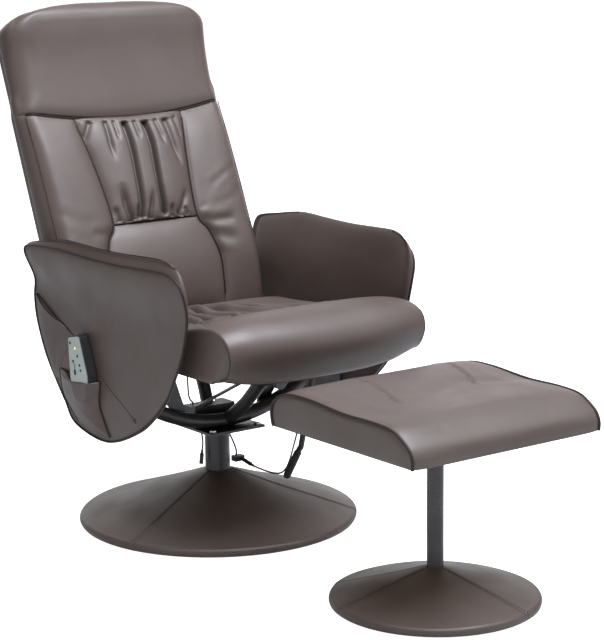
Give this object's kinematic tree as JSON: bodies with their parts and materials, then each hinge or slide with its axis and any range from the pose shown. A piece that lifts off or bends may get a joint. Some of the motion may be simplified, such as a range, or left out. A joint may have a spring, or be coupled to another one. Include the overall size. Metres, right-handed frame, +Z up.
{
  "type": "reflexology chair",
  "caption": "Padded swivel recliner with built-in massage motors, side pockets with a handset, a recline lever and a matching footstool, both on round wrapped bases.",
  "frame": {"origin": "centre of the chair's round base, at floor level under the column", "axes": "+Z up, the chair faces -Y with the footstool in front of it, the sitter's left is +X"},
  "size_m": [0.5806, 1.3322, 1.0279],
  "materials": {
    "leather": "satin",
    "black_steel": "satin",
    "column_grey": "satin",
    "bare_steel": "satin",
    "motor_can": "satin",
    "plywood": "matte",
    "black_plastic": "satin",
    "face_foil": "satin",
    "bush_plastic": "matte",
    "black_rubber": "matte"
  },
  "bodies": {
    "base": {"base_foot_ring": "black_rubber", "base_plate": "black_steel", "base_cone": "black_steel", "base_cover": "leather", "column": "column_grey", "column_bush": "bush_plastic"},
    "carriage": {"swivel_spindle": "bare_steel", "swivel_plate": "black_steel", "arm_crossbar": "black_steel", "seat_spars": "black_steel", "rail_ties": "black_steel", "slide_rails": "black_steel", "arm_brackets": "black_steel", "frame_bolts": "bare_steel", "control_box": "black_plastic", "lever_bracket": "black_steel", "lever_pin": "bare_steel", "arm_left": "leather", "arm_right": "leather", "magazine_pocket": "leather", "handset_pocket": "leather", "seat_lead": "black_rubber", "power_lead": "black_rubber", "power_socket": "black_plastic", "motor_lead": "black_rubber", "lead_splitter": "black_plastic", "link_plug": "black_plastic", "link_lead": "black_rubber"},
    "lever": {"recline_lever": "black_steel", "lever_grip": "black_rubber"},
    "seat": {"seat_sliders": "black_steel", "seat_board": "plywood", "seat_cushion": "leather", "seat_motors": "motor_can", "hinge_ears": "black_steel", "hinge_pins": "bare_steel"},
    "backrest": {"back_brackets": "black_steel", "back_board": "plywood", "back_motors": "motor_can", "head_cushion": "leather", "bolster_left": "leather", "bolster_right": "leather", "gathered_panel": "leather", "lumbar_pad": "leather", "rear_pad": "leather"},
    "handset": {"handset_body": "black_plastic", "handset_face": "face_foil"},
    "button_1": {"button_1": "black_plastic"},
    "button_2": {"button_2": "black_plastic"},
    "button_3": {"button_3": "black_plastic"},
    "button_4": {"button_4": "black_plastic"},
    "button_5": {"button_5": "black_plastic"},
    "slider": {"intensity_slider": "black_plastic"},
    "stool": {"stool_foot_ring": "black_rubber", "stool_base": "black_steel", "stool_cover": "leather", "stool_post": "column_grey"},
    "stool_top": {"stool_spindle": "bare_steel", "stool_board": "plywood", "stool_cushion": "leather"}
  },
  "joints": [
    {"name": "chair_swivel", "type": "hinge", "parent": "base", "child": "carriage", "pos_m": [0, 0, 0.19], "axis": [0, 0, 1], "continuous": true},
    {"name": "back_recline", "type": "hinge", "parent": "seat", "child": "backrest", "pos_m": [0, 0.16, 0.345], "axis": [-1, 0, 0], "range_deg": [0, 35]},
    {"name": "seat_slide", "type": "slide", "parent": "carriage", "child": "seat", "axis": [0, -1, 0], "range_m": [0, 0.055]},
    {"name": "lever_swing", "type": "hinge", "parent": "carriage", "child": "lever", "pos_m": [0.148, -0.13, 0.318], "axis": [0, -1, 0], "range_deg": [0, 35]},
    {"name": "handset_lift", "type": "slide", "parent": "carriage", "child": "handset", "axis": [0, 0.2079, 0.9781], "range_m": [0, 0.055]},
    {"name": "button_1_press", "type": "slide", "parent": "handset", "child": "button_1", "axis": [1, 0, 0], "range_m": [0, 0.0006], "stiffness_N_per_m": 300},
    {"name": "button_2_press", "type": "slide", "parent": "handset", "child": "button_2", "axis": [1, 0, 0], "range_m": [0, 0.0006], "stiffness_N_per_m": 300},
    {"name": "button_3_press", "type": "slide", "parent": "handset", "child": "button_3", "axis": [1, 0, 0], "range_m": [0, 0.0006], "stiffness_N_per_m": 300},
    {"name": "button_4_press", "type": "slide", "parent": "handset", "child": "button_4", "axis": [1, 0, 0], "range_m": [0, 0.0006], "stiffness_N_per_m": 300},
    {"name": "button_5_press", "type": "slide", "parent": "handset", "child": "button_5", "axis": [1, 0, 0], "range_m": [0, 0.0006], "stiffness_N_per_m": 300},
    {"name": "intensity_slide", "type": "slide", "parent": "handset", "child": "slider", "axis": [0, 0.2079, 0.9781], "range_m": [0, 0.012]},
    {"name": "stool_move", "type": "slide", "parent": "base", "child": "stool", "axis": [0, -1, 0], "range_m": [0, 0.4]},
    {"name": "stool_swivel", "type": "hinge", "parent": "stool", "child": "stool_top", "pos_m": [0, -0.676, 0.3138], "axis": [0, 0, 1], "continuous": true}
  ],
  "couplings": [
    {"joint": "seat_slide", "follows": "back_recline", "m_per_rad": 0.09}
  ]
}
